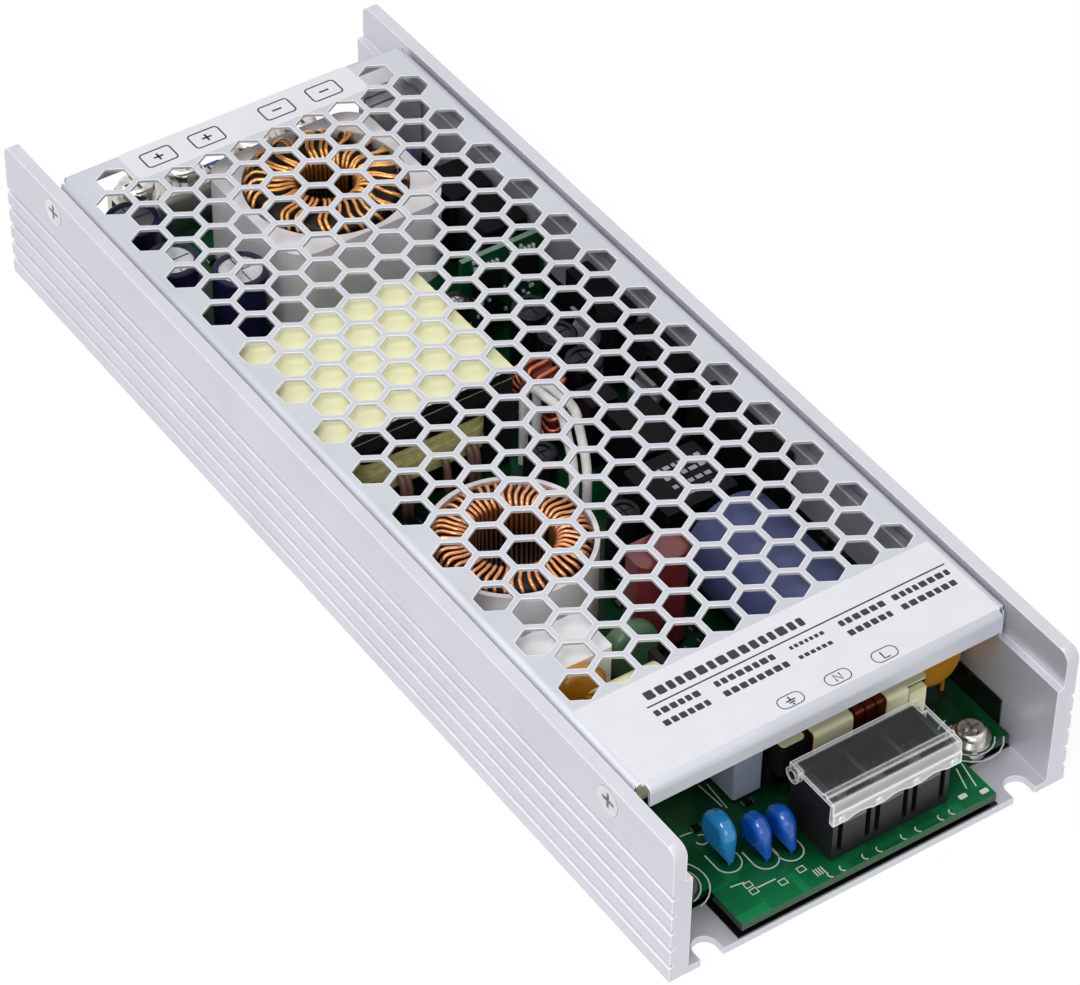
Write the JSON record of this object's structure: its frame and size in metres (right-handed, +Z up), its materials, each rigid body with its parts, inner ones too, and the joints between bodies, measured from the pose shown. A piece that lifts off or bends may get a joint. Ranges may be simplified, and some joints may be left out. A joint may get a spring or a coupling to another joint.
{
  "type": "switching power supply",
  "caption": "Slim enclosed switching power supply: grooved aluminium channel, honeycomb-vented cover, input terminals under a clear lid and screw output bars.",
  "frame": {"origin": "middle of the underside of the channel", "axes": "+Y from the input end to the output end along the case, +Z up out of the cover, +X to the right seen from the input end"},
  "size_m": [0.081, 0.212, 0.03],
  "materials": {
    "case_aluminium": "satin extruded, fine lengthwise grain",
    "cover_sheet": "satin punched sheet with white printed fields",
    "screw_steel": "zinc plated",
    "tinned_copper": "tin plated",
    "film_black": "smooth insulating film",
    "board_green": "green solder mask with white marks",
    "plastic_black": "moulded, fine satin",
    "lid_clear": "clear moulded",
    "epoxy_blue": "dipped epoxy",
    "box_grey": "moulded box",
    "box_white": "moulded box",
    "epoxy_amber": "dipped epoxy",
    "epoxy_green": "dipped epoxy",
    "epoxy_maroon": "dipped epoxy",
    "ferrite": "sintered, ground faces",
    "copper_wire": "enamelled copper",
    "red_wire": "enamelled copper",
    "amber_wire": "enamelled copper",
    "litz_yellow": "served stranded wire",
    "tape_yellow": "polyester film tape",
    "cup_white": "moulded",
    "sleeve_slate": "shrunk sleeve",
    "sleeve_navy": "shrunk sleeve, bare top",
    "wire_white": "insulated lead",
    "heatsink_grey": "extruded",
    "trimmer_blue": "moulded",
    "rotor_cream": "moulded",
    "lamp_green": "clear tinted"
  },
  "bodies": {
    "chassis": {"base_channel": "case_aluminium", "cover": "cover_sheet", "cover_screws": "screw_steel", "insulation_tray": "film_black", "main_board": "board_green", "board_standoffs": "case_aluminium", "board_screws": "screw_steel", "terminal_block": "plastic_black", "terminal_contacts": "tinned_copper", "terminal_screws": "screw_steel", "y_capacitor_1": "epoxy_blue", "y_capacitor_2": "epoxy_blue", "y_capacitor_3": "epoxy_blue", "fuse": "plastic_black", "x_capacitor_front": "box_grey", "line_choke_core": "ferrite", "line_choke_windings": "red_wire", "line_choke_tape": "tape_yellow", "surge_disc": "epoxy_amber", "filter_choke_core": "ferrite", "filter_choke_winding": "amber_wire", "filter_choke_tape": "tape_yellow", "x_capacitor_rear": "box_white", "inrush_disc": "epoxy_green", "film_capacitor": "epoxy_maroon", "bulk_capacitor": "sleeve_slate", "relay": "plastic_black", "drive_transformers": "plastic_black", "small_capacitors": "sleeve_navy", "bridge_rectifier": "plastic_black", "boost_choke_cup": "cup_white", "boost_choke_core": "ferrite", "boost_choke_winding": "copper_wire", "power_transistors": "plastic_black", "transistor_clips": "screw_steel", "transformer_core_lower": "ferrite", "transformer_core_upper": "ferrite", "transformer_bobbin": "plastic_black", "transformer_winding": "litz_yellow", "transformer_tape": "tape_yellow", "resonant_choke_core": "ferrite", "resonant_choke_winding": "red_wire", "lead_wires": "wire_white", "control_board": "board_green", "control_chips": "plastic_black", "rectifier_packages": "plastic_black", "rectifier_heatsink": "heatsink_grey", "output_choke_cup": "cup_white", "output_choke_core": "ferrite", "output_choke_winding": "copper_wire", "output_capacitors": "sleeve_navy", "bypass_disc": "epoxy_blue", "output_bar_plus": "tinned_copper", "output_bar_minus": "tinned_copper", "output_screws": "screw_steel", "trimmer_body": "trimmer_blue", "indicator_lamp": "lamp_green"},
    "terminal_cover": {"terminal_cover": "lid_clear"},
    "trimmer_rotor": {"trimmer_rotor": "rotor_cream"}
  },
  "joints": [
    {"name": "lid_hinge", "type": "hinge", "parent": "chassis", "child": "terminal_cover", "pos_m": [0.00605, -0.0926, 0.0166], "axis": [-1, 0, 0], "range_deg": [0, 70]},
    {"name": "trimmer_turn", "type": "hinge", "parent": "chassis", "child": "trimmer_rotor", "pos_m": [0, 0.0998, 0.0084], "axis": [0, 0, 1], "range_deg": [-130, 130]}
  ]
}
